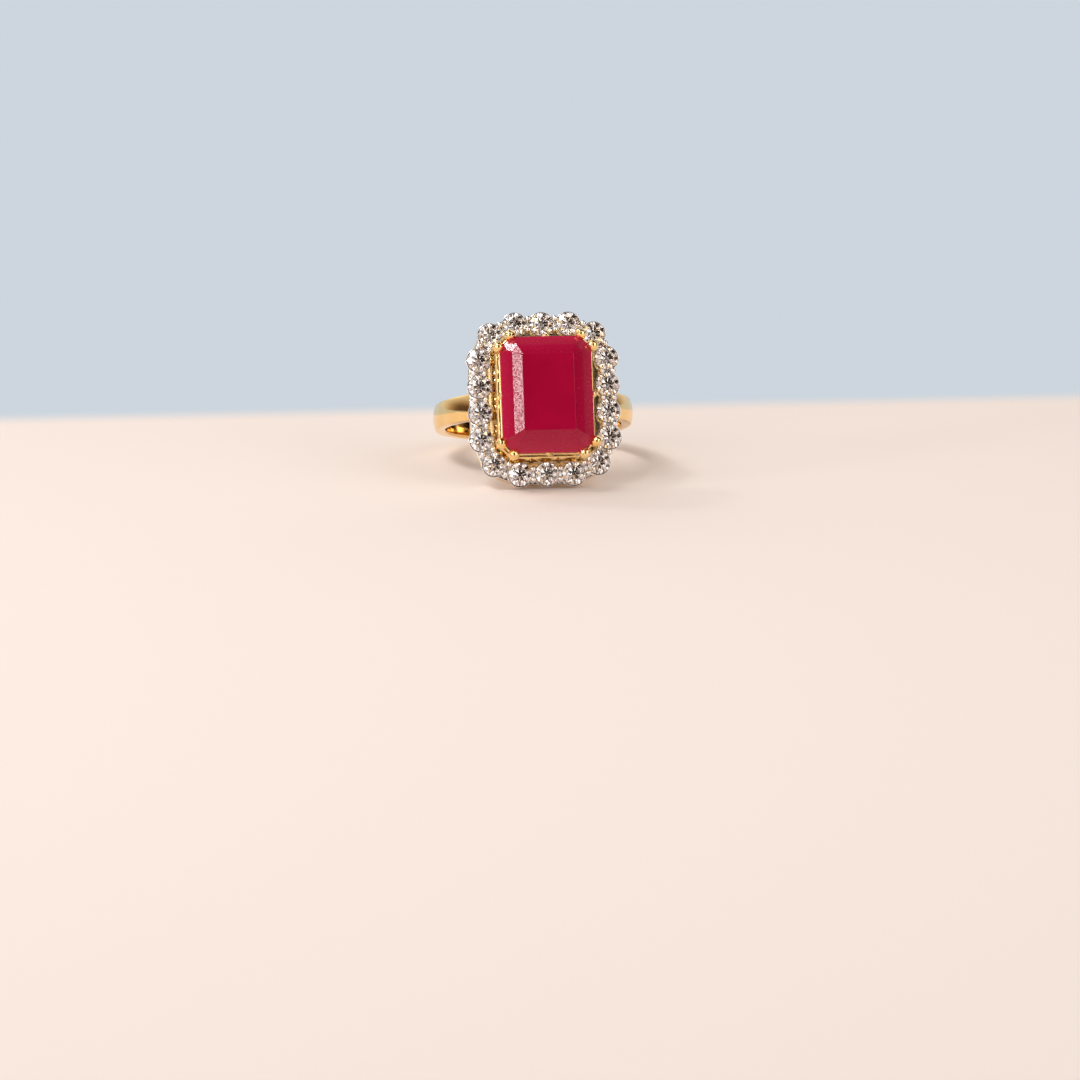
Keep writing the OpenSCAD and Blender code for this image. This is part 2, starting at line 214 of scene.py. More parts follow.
def addMarks(tree, shader, values):
    marks = tree.nodes.new("ShaderNodeGroup")
    marks.node_tree = polishMarks
    marks.inputs["Cloud Scale"].default_value = values["cloudScale"]
    marks.inputs["Line Scale"].default_value = values["lineScale"]
    marks.inputs["Smooth"].default_value = values["smooth"]
    marks.inputs["Worn"].default_value = values["worn"]
    tree.links.new(marks.outputs["Roughness"], shader.inputs["Roughness"])
    colour = mixedColour(tree, marks.outputs["Cloud"], values["deep"], values["light"])
    tree.links.new(colour, shader.inputs["Base Color"])
    return marks


def addBump(tree, shader, height, depth):
    bump = tree.nodes.new("ShaderNodeBump")
    bump.inputs["Distance"].default_value = depth
    tree.links.new(height, bump.inputs["Height"])
    tree.links.new(bump.outputs["Normal"], shader.inputs["Normal"])


def makeMetal(name, values):
    material, tree, shader = newMaterial(name)
    shader.inputs["Metallic"].default_value = 1
    marks = addMarks(tree, shader, values)
    addBump(tree, shader, marks.outputs["Height"], values["lineDepth"])
    return material


def makeRedStone(values):
    material, tree, shader = newMaterial("redStone")
    shader.inputs["IOR"].default_value = values["refraction"]
    shader.inputs["Specular IOR Level"].default_value = values["gloss"]
    marks = addMarks(tree, shader, values)
    place = tree.nodes.new("ShaderNodeTexCoord")
    tableHeight = max(vertex.co.dot(faceAxis) for vertex in nodes["center_stone"].data.vertices)
    height = tree.nodes.new("ShaderNodeVectorMath")
    height.operation = "DOT_PRODUCT"
    height.inputs[1].default_value = faceAxis
    tree.links.new(place.outputs["Object"], height.inputs[0])
    # painted light: with depth below the table the red is mixed towards the lighter edge colour, painting
    # a glow through the thin stone; the same ramp marks where the grain shows
    paintedGlowAndGrainRamp = tree.nodes.new("ShaderNodeMapRange")
    setRange(paintedGlowAndGrainRamp, (tableHeight, tableHeight - values["paintedGlowDepth"]))
    tree.links.new(height.outputs["Value"], paintedGlowAndGrainRamp.inputs["Value"])
    paintedGlow = tree.nodes.new("ShaderNodeMix")
    paintedGlow.data_type = "RGBA"
    paintedGlow.inputs["B"].default_value = (*values["edge"], 1)
    tree.links.new(paintedGlowAndGrainRamp.outputs["Result"], paintedGlow.inputs["Factor"])
    tree.links.new(shader.inputs["Base Color"].links[0].from_socket, paintedGlow.inputs["A"])
    tree.links.new(paintedGlow.outputs["Result"], shader.inputs["Base Color"])
    grain = tree.nodes.new("ShaderNodeTexNoise")
    grain.inputs["Scale"].default_value = values["grainScale"]
    grain.inputs["Detail"].default_value = values["grainDetail"]
    tree.links.new(place.outputs["Object"], grain.inputs["Vector"])
    addBump(tree, shader, grain.outputs["Fac"], values["grainDepth"])
    speckle = tree.nodes.new("ShaderNodeMapRange")
    setRange(speckle, values["grainRange"])
    speckle.inputs["To Max"].default_value = values["grainWear"]
    tree.links.new(grain.outputs["Fac"], speckle.inputs["Value"])
    belowTable = tree.nodes.new("ShaderNodeMath")
    belowTable.operation = "GREATER_THAN"
    belowTable.inputs[1].default_value = values["grainStart"]
    tree.links.new(paintedGlowAndGrainRamp.outputs["Result"], belowTable.inputs[0])
    rougher = tree.nodes.new("ShaderNodeMath")
    rougher.operation = "MULTIPLY_ADD"
    tree.links.new(speckle.outputs["Result"], rougher.inputs[0])
    tree.links.new(belowTable.outputs[0], rougher.inputs[1])
    tree.links.new(marks.outputs["Roughness"], rougher.inputs[2])
    tree.links.new(rougher.outputs[0], shader.inputs["Roughness"])
    return material


def makeClearStone(values):
    material, tree, shader = newMaterial("clearStone")
    shader.inputs["IOR"].default_value = values["refraction"]
    shader.inputs["Transmission Weight"].default_value = 1
    addMarks(tree, shader, values)
    return material


finishes = {
    "yellow_gold": makeMetal("yellowGold", goldValues),
    "white_gold": makeMetal("whiteGold", whiteValues),
    "red_stone": makeRedStone(redValues),
    "clear_stone": makeClearStone(clearValues),
}
print("finishes mixed")

mm = 0.001
toRing = ringAxes.inverted()
# in millimetres: points this close are one point, or lie on the same level
sameSpot = 0.001
sameLevel = 0.01
# least upward part of the normal of a face that looks up
upright = 0.9
roundProfile = 0.5


def ringPoints(node):
    return [(toRing @ vertex.co) / mm for vertex in nodes[node].data.vertices]


def ringBox(node):
    points = ringPoints(node)
    low = Vector([min(point[axis] for point in points) for axis in range(3)])
    high = Vector([max(point[axis] for point in points) for axis in range(3)])
    return low, high


def middleOf(points):
    return sum(points, Vector()) / len(points)


def editMesh(mode="VERT"):
    bpy.ops.object.mode_set(mode="EDIT")
    bpy.ops.mesh.select_mode(type=mode)
    bpy.ops.mesh.select_all(action="SELECT")


def leaveMesh():
    bpy.ops.object.mode_set(mode="OBJECT")


def pickFaces(piece, test):
    editMesh("FACE")
    bpy.ops.mesh.select_all(action="DESELECT")
    leaveMesh()
    for face in piece.data.polygons:
        face.select = test(face)
    bpy.ops.object.mode_set(mode="EDIT")


def pickVertices(piece, test):
    editMesh("VERT")
    bpy.ops.mesh.select_all(action="DESELECT")
    leaveMesh()
    for vertex in piece.data.vertices:
        vertex.select = test(vertex.co)
    bpy.ops.object.mode_set(mode="EDIT")


def pullUp(height):
    bpy.ops.mesh.extrude_region_move(TRANSFORM_OT_translate={"value": (0, 0, height)})


def scaleRing(share, height):
    bpy.ops.transform.resize(value=(share, share, 1), center_override=(0, 0, height))


def useOnly(piece):
    bpy.ops.object.select_all(action="DESELECT")
    piece.select_set(True)
    bpy.context.view_layer.objects.active = piece


def soften(piece, width, segments=3, angle=40):
    bevel = piece.modifiers.new("softEdge", "BEVEL")
    bevel.width = width
    bevel.segments = segments
    bevel.limit_method = "ANGLE"
    bevel.angle_limit = math.radians(angle)
    bpy.ops.object.modifier_apply(modifier="softEdge")


def copyOf(piece):
    useOnly(piece)
    bpy.ops.object.duplicate()
    return bpy.context.object


def joined(pieces):
    bpy.ops.object.select_all(action="DESELECT")
    for piece in pieces:
        piece.select_set(True)
    bpy.context.view_layer.objects.active = pieces[0]
    bpy.ops.object.join()
    return bpy.context.object


def settle(piece, matrix):
    useOnly(piece)
    piece.matrix_world = matrix
    bpy.ops.object.transform_apply(location=True, rotation=True, scale=True)


# pieces are shaped in millimetres on the ring's axes, then laid where the ring lies
def finishPiece(piece, name, slot, *replaced, smoothDegrees=35):
    settle(piece, ringAxes @ Matrix.Scale(mm, 4))
    bpy.ops.object.shade_smooth_by_angle(angle=math.radians(smoothDegrees))
    piece.name = name
    piece.data.name = name
    piece.data.materials.clear()
    piece.data.materials.append(finishes[slot])
    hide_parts(*replaced)
    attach(piece, "root")


def cutBy(piece, cutter):
    useOnly(piece)
    cut = piece.modifiers.new("cut", "BOOLEAN")
    cut.operation = "DIFFERENCE"
    cut.solver = "EXACT"
    cut.object = cutter
    bpy.ops.object.modifier_apply(modifier="cut")


# a stone starts as a merged copy of its cut form, with each facet one face
flatDegrees = 1


def stoneCopy(node):
    stone = copyOf(nodes[node])
    for key in list(stone.keys()):
        del stone[key]
    stone.parent = None
    settle(stone, Matrix.Scale(1 / mm, 4) @ toRing)
    editMesh()
    bpy.ops.mesh.remove_doubles(threshold=sameSpot)
    bpy.ops.mesh.dissolve_limited(angle_limit=math.radians(flatDegrees))
    leaveMesh()
    return stone


# red stone: its facet edges are just eased
stoneValues = {"facetEase": 0.035, "sliver": 0.0005}


def makeStone(values):
    stone = stoneCopy("center_stone")
    cutter = copyOf(stone)
    cutter.name = "stoneCutter"
    settle(cutter, ringAxes @ Matrix.Scale(mm, 4))
    useOnly(stone)
    soften(stone, values["facetEase"], segments=2, angle=5)
    editMesh()
    bpy.ops.mesh.dissolve_degenerate(threshold=values["sliver"])
    leaveMesh()
    finishPiece(stone, "redStone", "red_stone", "center_stone", smoothDegrees=0)
    return cutter


stoneCutter = makeStone(stoneValues)
print("red stone eased")

# band: a domed section cut flat inside, spun round the finger and tapered to the back
bandValues = {
    "domeRadius": 3.4,
    "sectionPoints": 128,
    "cornerEase": 0.24,
    "cornerSegments": 6,
    "turns": 240,
    "seam": 0.0005,
    "backDepth": 0.3,  # the width at the back is measured within this depth
}


def makeBand(values):
    low, high = ringBox("shank")
    boreRadius = fingerHole["dims"]["r_mm"]
    outerRadius = high.x
    points = ringPoints("shank")
    backWidth = 2 * max(p.y for p in points if p.z < low.z + values["backDepth"])
    headWidth = 2 * high.y
    width = (headWidth + backWidth) / 2
    bpy.ops.object.select_all(action="DESELECT")
    bpy.ops.mesh.primitive_circle_add(
        vertices=values["sectionPoints"],
        radius=values["domeRadius"],
        fill_type="NGON",
        location=(outerRadius - values["domeRadius"], 0, 0),
    )
    band = bpy.context.object
    bpy.ops.object.transform_apply(location=True)
    cuts = [
        ((boreRadius, 0, 0), (-1, 0, 0)),
        ((0, width / 2, 0), (0, 1, 0)),
        ((0, -width / 2, 0), (0, -1, 0)),
    ]
    for spot, facing in cuts:
        editMesh()
        bpy.ops.mesh.bisect(plane_co=spot, plane_no=facing, clear_outer=True)
        leaveMesh()
    pickVertices(band, lambda co: abs(abs(co.y) - width / 2) < sameSpot)
    bpy.ops.mesh.bevel(
        affect="VERTICES",
        offset=values["cornerEase"],
        segments=values["cornerSegments"],
        profile=roundProfile,
    )
    bpy.ops.mesh.select_all(action="SELECT")
    bpy.ops.mesh.delete(type="ONLY_FACE")
    bpy.ops.mesh.select_all(action="SELECT")
    bpy.ops.mesh.spin(steps=values["turns"], angle=2 * math.pi, center=(0, 0, 0), axis=(0, 1, 0))
    bpy.ops.mesh.select_all(action="SELECT")
    bpy.ops.mesh.remove_doubles(threshold=values["seam"])
    bpy.ops.mesh.normals_make_consistent(inside=False)
    leaveMesh()
    taper = band.modifiers.new("taper", "SIMPLE_DEFORM")
    taper.deform_method = "TAPER"
    taper.deform_axis = "Z"
    taper.lock_x = True
    taper.factor = 2 * (headWidth - backWidth) / (headWidth + backWidth)
    bpy.ops.object.modifier_apply(modifier="taper")
    editMesh()
    bpy.ops.mesh.bisect(plane_co=(0, 0, high.z), plane_no=(0, 0, 1), use_fill=True, clear_outer=True)
    leaveMesh()
    finishPiece(band, "band", "yellow_gold", "shank")


makeBand(bandValues)
print("band spun")

# rails: a flat outline with cut corners, inset, raised and eased
railValues = {
    "galleryRail": {"node": "gallery_rail", "wall": 0.80, "cornerSteps": 2, "slope": 0, "ease": 0.16},
    "seatRail": {"node": "seat_rail", "wall": 1.00, "cornerSteps": 1, "slope": 0, "ease": 0.10},
    "baseRail": {"node": "base_rail", "wall": 0.95, "cornerSteps": 1, "slope": 0, "ease": 0.16},
    "haloCollar": {"node": "halo_collar", "wall": 0.50, "cornerSteps": 1, "slope": 0.34, "ease": 0.06},
}
# share of the wall by which the middle of a cut corner lies further out than along the sides
cornerShare = 0.2
# points this close to the far side of the outline lie on it, in millimetres
sideDepth = 0.02


def makeOutline(high, bottom, flat, steps, wall):
    bpy.ops.object.select_all(action="DESELECT")
    bpy.ops.mesh.primitive_plane_add(size=2, location=(0, 0, bottom))
    rail = bpy.context.object
    rail.scale = (high.x, high.y, 1)
    bpy.ops.object.transform_apply(location=True, scale=True)
    editMesh()
    bpy.ops.mesh.bevel(affect="VERTICES", offset=high.x - flat, segments=steps, profile=roundProfile)
    editMesh("FACE")
    bpy.ops.mesh.inset(thickness=wall)
    bpy.ops.mesh.delete(type="FACE")
    leaveMesh()
    return rail


def makeRail(name, values):
    low, high = ringBox(values["node"])
    flat = max(abs(p.x) for p in ringPoints(values["node"]) if p.y > high.y - sideDepth)
    rail = makeOutline(high, low.z, flat, values["cornerSteps"], values["wall"])
    editMesh("FACE")
    pullUp(high.z - low.z)
    bpy.ops.mesh.select_all(action="SELECT")
    bpy.ops.mesh.normals_make_consistent(inside=False)
    leaveMesh()
    if values["slope"]:
        # the outer edge of the top falls away, so the collar slopes out towards the halo
        inside = high - Vector((values["wall"], values["wall"], 0)) / 2
        reach = inside.x + inside.y - (high.x - flat) + values["wall"] * cornerShare
        pickVertices(
            rail,
            lambda co: co.z > high.z - sameLevel
            and (abs(co.x) > inside.x or abs(co.y) > inside.y or abs(co.x) + abs(co.y) > reach),
        )
        bpy.ops.transform.translate(value=(0, 0, -values["slope"]))
        leaveMesh()
    soften(rail, values["ease"], segments=4, angle=15)
    finishPiece(rail, name, "yellow_gold", values["node"])
    return rail


for name, values in railValues.items():
    rail = makeRail(name, values)
    if name == "seatRail":
        cutBy(rail, stoneCutter)
print("rails raised")


# stud: a round stem whose top is drawn up through a list of (height, radius) steps
def makeStud(radius, sides, bottom, top, steps):
    bpy.ops.object.select_all(action="DESELECT")
    bpy.ops.mesh.primitive_cylinder_add(
        vertices=sides, radius=radius, depth=top - bottom, location=(0, 0, (top + bottom) / 2)
    )
    stud = bpy.context.object
    bpy.ops.object.transform_apply(location=True)
    pickFaces(stud, lambda face: face.normal.z > upright)
    lastHeight, lastRadius = top, radius
    for height, stepRadius in steps:
        pullUp(height - lastHeight)
        scaleRing(stepRadius / lastRadius, height)
        lastHeight, lastRadius = height, stepRadius
    leaveMesh()
    return stud


# bead: from below its middle up to a small flat on top
def beadSteps(height, radius, values):
    steps = []
    start = values["beadStart"]
    for index in range(values["beadSteps"] + 1):
        angle = math.radians(start + (90 - start) * index / values["beadSteps"])
        steps.append((height + radius * math.sin(angle), max(radius * math.cos(angle), values["topFlat"])))
    return steps


def footOf(node):
    low = ringBox(node)[0]
    return middleOf([p for p in ringPoints(node) if p.z < low.z + sameLevel])


def standOn(stud, foot, direction, roll):
    turn = direction.to_track_quat("Z", "Y") @ Quaternion((0, 0, 1), roll)
    settle(stud, Matrix.Translation(foot) @ turn.to_matrix().to_4x4())


def trimBelow(piece, height):
    useOnly(piece)
    editMesh()
    bpy.ops.mesh.bisect(plane_co=(0, 0, height), plane_no=(0, 0, 1), use_fill=True, clear_inner=True)
    leaveMesh()


# claws: leaning stems with faceted bead tips, cut to the stone they hold
clawValues = {
    "stemRadius": 0.45,
    "tipRadius": 0.55,
    "sides": 32,
    "root": 0.5,  # how far the stem starts below the foot, before it is trimmed
    "neckDrop": 0.85,
    "neckLength": 0.08,
    "neckShare": 0.90,
    "beadStart": -40,
    "beadSteps": 10,
    "topFlat": 0.05,
    "facets": 5,
    "facetLean": 52,
    "facetDepth": 0.90,
    "rollStep": 0.55,
}


def makeClaws(values):
    tipRadius = values["tipRadius"]
    lean = math.radians(values["facetLean"])
    clawNodes = sorted(name for name in nodes if name.startswith("prong_"))
    for index, node in enumerate(clawNodes, start=1):
        low, high = ringBox(node)
        side = Vector((math.copysign(1, low.x + high.x), math.copysign(1, low.y + high.y)))
        outer = Vector((max(abs(low.x), abs(high.x)), max(abs(low.y), abs(high.y))))
        reach = outer - Vector((tipRadius, tipRadius))
        tip = Vector((side.x * reach.x, side.y * reach.y, high.z - tipRadius))
        foot = footOf(node)
        length = (tip - foot).length
        neck = length - tipRadius * values["neckDrop"]
        steps = [(neck + values["neckLength"], values["stemRadius"] * values["neckShare"])]
        steps += beadSteps(length, tipRadius, values)
        claw = makeStud(values["stemRadius"], values["sides"], -values["root"], neck, steps)
        for cut in range(values["facets"]):
            around = 2 * math.pi * cut / values["facets"]
            sideways = Vector((math.cos(around), math.sin(around), 0))
            facing = sideways * math.sin(lean) + Vector((0, 0, math.cos(lean)))
            editMesh()
            bpy.ops.mesh.bisect(
                plane_co=Vector((0, 0, length)) + facing * tipRadius * values["facetDepth"],
                plane_no=facing,
                use_fill=True,
                clear_outer=True,
            )
            leaveMesh()
        standOn(claw, foot, (tip - foot).normalized(), index * values["rollStep"])
        trimBelow(claw, low.z)
        finishPiece(claw, "claw_%02d" % index, "yellow_gold", node)
        cutBy(claw, stoneCutter)


makeClaws(clawValues)
print("claws set")

# posts: slim stems with a pointed top at the middle of each side
postValues = {
    "radius": 0.40,
    "sides": 32,
    "root": 0.5,
    "point": 0.50,
    "pointRadius": 0.06,
    "profile": [(0.12, 0.94), (0.30, 0.80), (0.85, 0.26)],  # shares of the point and of the radius
}


def makePosts(values):
    for side in ("top", "right", "bottom", "left"):
        node = "post_" + side
        foot = footOf(node)
        tip = max(ringPoints(node), key=lambda p: p.z)
        length = (tip - foot).length
        shoulder = length - values["point"]
        steps = []
        for up, share in values["profile"]:
            steps.append((shoulder + values["point"] * up, values["radius"] * share))
        steps.append((length, values["pointRadius"]))
        post = makeStud(values["radius"], values["sides"], -values["root"], shoulder, steps)
        standOn(post, foot, (tip - foot).normalized(), 0)
        trimBelow(post, ringBox(node)[0].z)
        finishPiece(post, "post" + side.capitalize(), "yellow_gold", node)
        cutBy(post, stoneCutter)


makePosts(postValues)
print("posts set")

# bridges: eased bars from the basket to the rail under the halo
bridgeValues = {"width": 0.50, "acrossOffset": 1.30, "alongOffset": 1.50, "ease": 0.08}


def makeBridges(values):
    low, high = ringBox("gallery_bridges")
    inner = ringBox("base_rail")[1]
    middle = (inner + high) / 2
    length = high - inner
    bars = []
    for turn in (1, -1):
        for side in (1, -1):
            spans = [
                (turn * values["acrossOffset"], side * middle.y, values["width"], length.y),
                (side * middle.x, turn * values["alongOffset"], length.x, values["width"]),
            ]
            for x, y, sizeX, sizeY in spans:
                bpy.ops.object.select_all(action="DESELECT")
                bpy.ops.mesh.primitive_cube_add(size=1, location=(x, y, (low.z + high.z) / 2))
                bar = bpy.context.object
                bar.scale = (sizeX, sizeY, high.z - low.z)
                bpy.ops.object.transform_apply(location=True, scale=True)
                soften(bar, values["ease"])
                bars.append(bar)
    finishPiece(joined(bars), "galleryBridges", "yellow_gold", "gallery_bridges")


makeBridges(bridgeValues)
print("bridges laid")

haloNodes = sorted(name for name in nodes if name.startswith("diamond_"))
haloSpots = []
for node in haloNodes:
    low, high = ringBox(node)
    haloSpots.append(Vector(((low.x + high.x) / 2, (low.y + high.y) / 2, 0)))

# cups: eased cones with a seat for each halo stone, on a plate that follows the halo
cupValues = {
    "footRadius": 0.95,
    "rimRadius": 1.22,
    "seatRadius": 1.02,
    "holeRadius": 0.47,
    "height": 1.0,
    "seatDepth": 0.5,
    "ease": 0.07,
    "sides": 48,
    "merge": 0.01,
    "plate": 0.30,
    "plateReach": 0.90,
    "plateCorner": 0.2,
    "plateSteps": 2,
    "footShow": 0.04,
}


def makeCups(values):
    bottom = ringBox("halo_frame")[0].z
    rim = bottom + values["height"]
    bpy.ops.object.select_all(action="DESELECT")
    bpy.ops.mesh.primitive_cylinder_add(
        vertices=values["sides"],
        radius=values["footRadius"],
        depth=values["height"],
        location=(0, 0, bottom + values["height"] / 2),
    )
    cup = bpy.context.object
    bpy.ops.object.transform_apply(location=True)
    pickFaces(cup, lambda face: face.normal.z > upright)
    scaleRing(values["rimRadius"] / values["footRadius"], rim)
    bpy.ops.mesh.inset(thickness=values["rimRadius"] - values["seatRadius"])
    pullUp(-values["seatDepth"])
    scaleRing(values["holeRadius"] / values["seatRadius"], rim - values["seatDepth"])
    pullUp(values["seatDepth"] - values["height"])
    bpy.ops.mesh.delete(type="FACE")
    leaveMesh()
    pickFaces(cup, lambda face: face.normal.z < -upright and len(face.vertices) == values["sides"])
    bpy.ops.mesh.inset(thickness=values["footRadius"] - values["holeRadius"])
    bpy.ops.mesh.delete(type="FACE")
    editMesh()
    bpy.ops.mesh.remove_doubles(threshold=values["merge"])
    bpy.ops.mesh.normals_make_consistent(inside=False)
    leaveMesh()
    soften(cup, values["ease"], segments=4, angle=20)
    cups = []
    for spot in haloSpots:
        copy = copyOf(cup)
        settle(copy, Matrix.Translation(spot))
        cups.append(copy)
    useOnly(cup)
    bpy.ops.object.delete()
    return joined(cups)


def makePlate(values):
    bottom = ringBox("halo_frame")[0].z
    reach = values["plateReach"]
    column = max(spot.x for spot in haloSpots)
    row = max(spot.y for spot in haloSpots)
    rowEnd = max(spot.x for spot in haloSpots if spot.y > row - sameLevel)
    plate = makeOutline(
        Vector((column + reach, row + reach)),
        bottom + values["footShow"],
        rowEnd + reach * values["plateCorner"],
        values["plateSteps"],
        reach + values["rimRadius"],
    )
    editMesh("FACE")
    pullUp(values["plate"] - values["footShow"])
    bpy.ops.mesh.select_all(action="SELECT")
    bpy.ops.mesh.normals_make_consistent(inside=False)
    leaveMesh()
    soften(plate, values["ease"])
    return plate


haloSetting = joined([makeCups(cupValues), makePlate(cupValues)])
finishPiece(haloSetting, "haloSetting", "white_gold", "halo_frame")
print("cups turned")

# beads: small shared claws, two in each gap between neighbouring halo stones
beadValues = {
    "stemRadius": 0.25,
    "beadRadius": 0.30,
    "sides": 20,
    "offset": 0.52,
    "neckDrop": 0.8,
    "beadStart": -45,
    "beadSteps": 8,
    "topFlat": 0.03,
}


def makeBeads(name, node, offset, values):
    low, high = ringBox(node)
    middle = high.z - values["beadRadius"]
    neck = middle - values["beadRadius"] * values["neckDrop"]
    steps = beadSteps(middle, values["beadRadius"], values)
    bead = makeStud(values["stemRadius"], values["sides"], low.z, neck, steps)
    copies = []
    for index, spot in enumerate(haloSpots):
        following = haloSpots[(index + 1) % len(haloSpots)]
        along = (following - spot).normalized()
        outward = Vector((-along.y, along.x, 0))
        copy = copyOf(bead)
        settle(copy, Matrix.Translation((spot + following) / 2 + outward * offset))
        copies.append(copy)
    useOnly(bead)
    bpy.ops.object.delete()
    finishPiece(joined(copies), name, "white_gold", node)


makeBeads("outerBeads", "halo_claws_outer", beadValues["offset"], beadValues)
makeBeads("innerBeads", "halo_claws_inner", -beadValues["offset"], beadValues)
print("beads set")

# halo stones: each sits in its cup at a turn of its own, as stones set by hand do
haloValues = {"firstTurn": 11.0, "turnStep": 19.0}


def makeHaloStones(values):
    for index, (node, spot) in enumerate(zip(haloNodes, haloSpots)):
        stone = stoneCopy(node)
        turn = Matrix.Rotation(math.radians(values["firstTurn"] + values["turnStep"] * index), 4, "Z")
        settle(stone, Matrix.Translation(spot) @ turn @ Matrix.Translation(-spot))
        finishPiece(stone, "haloStone_%02d" % (index + 1), "clear_stone", node, smoothDegrees=0)


makeHaloStones(haloValues)
useOnly(stoneCutter)
bpy.ops.object.delete()
print("halo stones set")

# floor: cream near the ring, a pale blue glow further back
floorValues = {
    "size": 6.0,
    "near": (0.91, 0.80, 0.735),
    "far": (0.61, 0.67, 0.73),
    "breakRange": (0.024, 0.031),
    "roughness": 0.8,
}


def seenBy(tree, kinds):
    rays = tree.nodes.new("ShaderNodeLightPath")
    seen = rays.outputs[kinds[0]]
    for kind in kinds[1:]:
        either = tree.nodes.new("ShaderNodeMath")
        either.operation = "MAXIMUM"
        tree.links.new(seen, either.inputs[0])
        tree.links.new(rays.outputs[kind], either.inputs[1])
        seen = either.outputs[0]
    return seen


def makeFloor(values):
    bpy.ops.object.select_all(action="DESELECT")
    bpy.ops.mesh.primitive_plane_add(size=values["size"])
    floor = bpy.context.object
    floor.name = "paleFloor"
    material, tree, shader = newMaterial("palePaper")
    place = tree.nodes.new("ShaderNodeTexCoord")
    split = tree.nodes.new("ShaderNodeSeparateXYZ")
    blend = tree.nodes.new("ShaderNodeMapRange")
    blend.interpolation_type = "SMOOTHSTEP"
    setRange(blend, values["breakRange"])
    mix = tree.nodes.new("ShaderNodeMix")
    mix.data_type = "RGBA"
    mix.inputs["A"].default_value = (*values["near"], 1)
    mix.inputs["B"].default_value = (0, 0, 0, 1)
    tree.links.new(place.outputs["Object"], split.inputs["Vector"])
    tree.links.new(split.outputs["Y"], blend.inputs["Value"])
    tree.links.new(blend.outputs["Result"], mix.inputs["Factor"])
    tree.links.new(mix.outputs["Result"], shader.inputs["Base Color"])
    shader.inputs["Roughness"].default_value = values["roughness"]
    shader.inputs["Specular IOR Level"].default_value = 0
    shader.inputs["Emission Color"].default_value = (*values["far"], 1)
    shown = seenBy(tree, ("Is Camera Ray", "Is Glossy Ray", "Is Transmission Ray"))
    glow = tree.nodes.new("ShaderNodeMath")
    glow.operation = "MULTIPLY"
    tree.links.new(blend.outputs["Result"], glow.inputs[0])
    tree.links.new(shown, glow.inputs[1])
    tree.links.new(glow.outputs[0], shader.inputs["Emission Strength"])
    floor.data.materials.append(material)


makeFloor(floorValues)

# key: high in front on the left, from where the ring's shadow falls back and to the right
keyValues = {
    "lowEnd": (-0.505, -0.328, 0.799),
    "highEnd": (-0.301, -0.195, 0.934),
    "distance": 0.35,
    "length": 0.10,
    "width": 0.10,
    "radiance": 9.2,
}
# strip: low on the left, for the stone's left inner step
stripValues = {
    "lowEnd": (-0.960, -0.367, 0.192),
    "highEnd": (-0.844, -0.297, 0.364),
    "distance": 0.35,
    "length": 0.10,
    "width": 0.024,
    "radiance": 20.0,
}
# corner and kicker: small lamps for the inner and outer facet at the stone's upper left corner
cornerValues = {
    "lowEnd": (-0.572, -0.030, 0.805),
    "highEnd": (-0.492, 0.016, 0.885),
    "distance": 0.35,
    "length": 0.04,
    "width": 0.035,
    "radiance": 20.0,
}
kickerValues = {
    "lowEnd": (-0.594, 0.487, 0.650),
    "highEnd": (-0.514, 0.427, 0.740),
    "distance": 0.35,
    "length": 0.032,
    "width": 0.032,
    "radiance": 30.0,
}
# fill: wide and weak on the right
fillValues = {
    "lowEnd": (0.80, -0.40, 0.44),
    "highEnd": (0.60, -0.30, 0.74),
    "distance": 0.40,
    "length": 0.25,
    "width": 0.25,
    "radiance": 1.3,
}
stoneMiddle = middleOf([vertex.co for vertex in nodes["center_stone"].data.vertices])


def makeSoftbox(name, values):
    low = Vector(values["lowEnd"])
    high = Vector(values["highEnd"])
    outward = (low + high).normalized()
    along = (high - low).normalized()
    across = outward.cross(along)
    bpy.ops.object.light_add(type="AREA", location=stoneMiddle + outward * values["distance"])
    lamp = bpy.context.object
    lamp.name = name
    lamp.rotation_euler = Matrix((along, across, outward)).transposed().to_euler()
    lamp.data.shape = "RECTANGLE"
    lamp.data.size = values["length"]
    lamp.data.size_y = values["width"]
    lamp.data.energy = values["radiance"] * math.pi * values["length"] * values["width"]


makeSoftbox("cornerLight", cornerValues)
makeSoftbox("kickerLight", kickerValues)
makeSoftbox("keyLight", keyValues)
makeSoftbox("stripLight", stripValues)
makeSoftbox("fillLight", fillValues)

# room: dim along the horizon, lighter above and behind, with two windows in front
# and dark cards where the red stone mirrors; the picture itself shows a plain pale blue
roomValues = {
    "horizon": 0.10,
    "above": 0.70,
    "rise": (0.12, 0.50),
    "back": (0.15, 0.85),
    "backLevel": 0.65,
    "windows": [(-0.55, -0.78, 0.30), (0.62, -0.74, 0.25)],
    "windowEdge": (0.93, 0.965),
    "windowLevel": 1.7,
    "cards": [  # direction, soft edge and level of each
        ((0.11, -0.87, 0.48), (0.90, 0.97), 0.05),
        ((0.97, -0.13, 0.21), (0.90, 0.97), 0.05),
        ((0.10, 0.18, 0.98), (0.90, 0.97), 0.05),
        ((0.66, 0.24, 0.68), (0.88, 0.96), 0.05),
        ((0.10, 0.63, 0.77), (0.93, 0.985), 0.15),
    ],
    "tint": (1.0, 0.985, 0.97),
    "dimTint": (1.0, 0.64, 0.40),
    "dimLevel": 0.8,
    "seen": (0.61, 0.67, 0.73),
    "seenBehind": (0.80, 0.92),
}


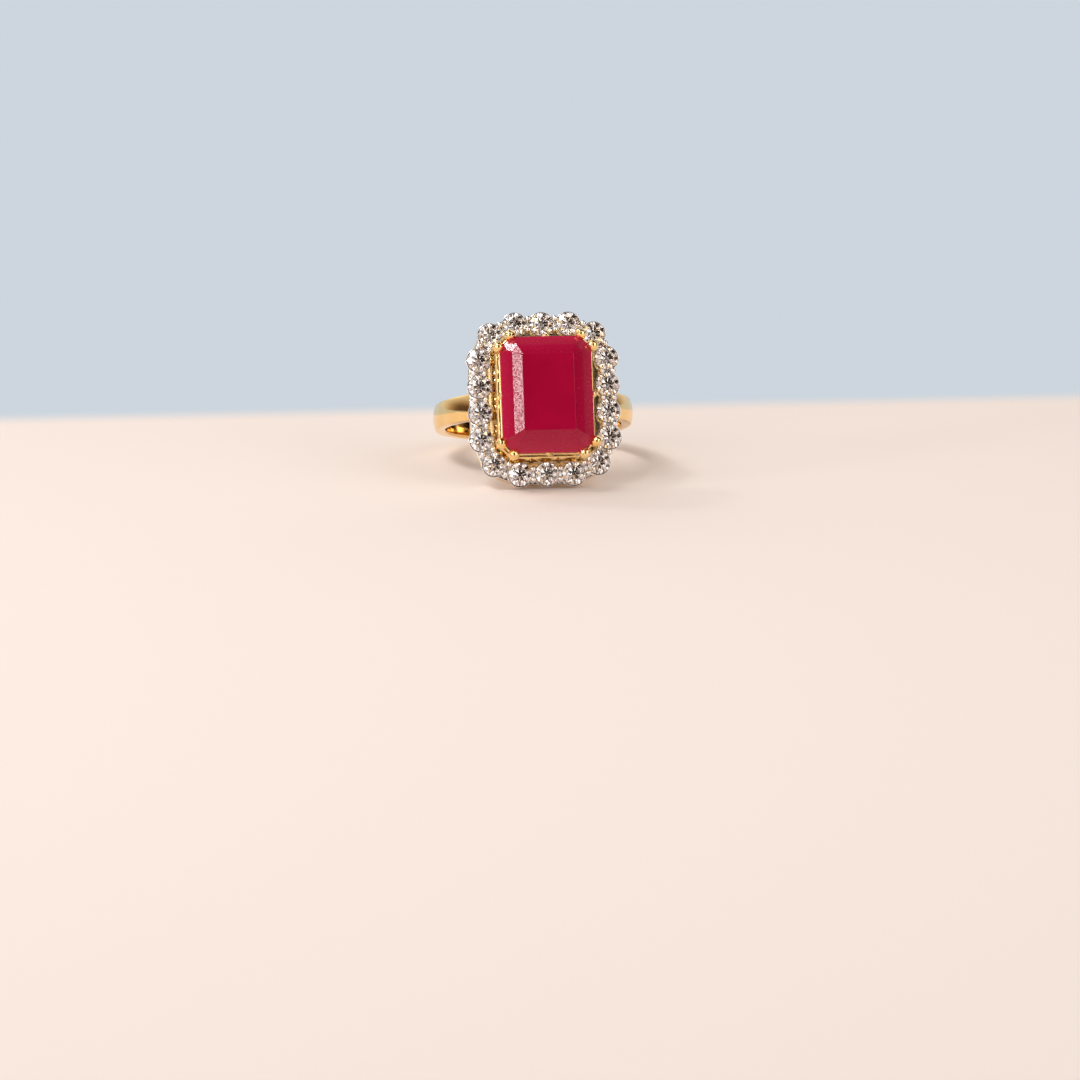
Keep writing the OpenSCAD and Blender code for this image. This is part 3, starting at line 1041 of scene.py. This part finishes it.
def makeWorld(values):
    world = bpy.data.worlds.new("room")
    scene.world = world
    world.use_nodes = True
    tree = world.node_tree
    background = tree.nodes["Background"]
    output = tree.nodes["World Output"]
    place = tree.nodes.new("ShaderNodeTexCoord")
    split = tree.nodes.new("ShaderNodeSeparateXYZ")
    tree.links.new(place.outputs["Generated"], split.inputs["Vector"])

    def ramp(source, start, end, low, high):
        step = tree.nodes.new("ShaderNodeMapRange")
        step.interpolation_type = "SMOOTHSTEP"
        setRange(step, (start, end))
        step.inputs["To Min"].default_value = low
        step.inputs["To Max"].default_value = high
        tree.links.new(source, step.inputs["Value"])
        return step.outputs["Result"]

    def combine(operation, first, second):
        node = tree.nodes.new("ShaderNodeMath")
        node.operation = operation
        tree.links.new(first, node.inputs[0])
        tree.links.new(second, node.inputs[1])
        return node.outputs[0]

    level = ramp(split.outputs["Z"], *values["rise"], values["horizon"], values["above"])
    level = combine("ADD", level, ramp(split.outputs["Y"], *values["back"], 0, values["backLevel"]))

    def facing(direction):
        node = tree.nodes.new("ShaderNodeVectorMath")
        node.operation = "DOT_PRODUCT"
        node.inputs[1].default_value = Vector(direction).normalized()
        tree.links.new(place.outputs["Generated"], node.inputs[0])
        return node.outputs["Value"]

    for direction in values["windows"]:
        window = ramp(facing(direction), *values["windowEdge"], 0, values["windowLevel"])
        level = combine("ADD", level, window)
    for direction, edge, dark in values["cards"]:
        card = ramp(facing(direction), *edge, 1, dark)
        level = combine("MULTIPLY", level, card)
    tint = tree.nodes.new("ShaderNodeMix")
    tint.data_type = "RGBA"
    tint.inputs["A"].default_value = (*values["dimTint"], 1)
    tint.inputs["B"].default_value = (*values["tint"], 1)
    tree.links.new(ramp(level, 0, values["dimLevel"], 0, 1), tint.inputs["Factor"])
    tree.links.new(tint.outputs["Result"], background.inputs["Color"])
    tree.links.new(level, background.inputs["Strength"])
    seen = tree.nodes.new("ShaderNodeBackground")
    seen.inputs["Color"].default_value = (*values["seen"], 1)
    direct = seenBy(tree, ("Is Camera Ray",))
    mirrored = seenBy(tree, ("Is Glossy Ray", "Is Transmission Ray"))
    behind = ramp(split.outputs["Y"], *values["seenBehind"], 0, 1)
    shown = combine("MAXIMUM", direct, combine("MULTIPLY", mirrored, behind))
    mix = tree.nodes.new("ShaderNodeMixShader")
    tree.links.new(shown, mix.inputs["Fac"])
    tree.links.new(background.outputs["Background"], mix.inputs[1])
    tree.links.new(seen.outputs["Background"], mix.inputs[2])
    tree.links.new(mix.outputs["Shader"], output.inputs["Surface"])


makeWorld(roomValues)
scene.view_settings.view_transform = "Standard"
print("floor and lights placed")
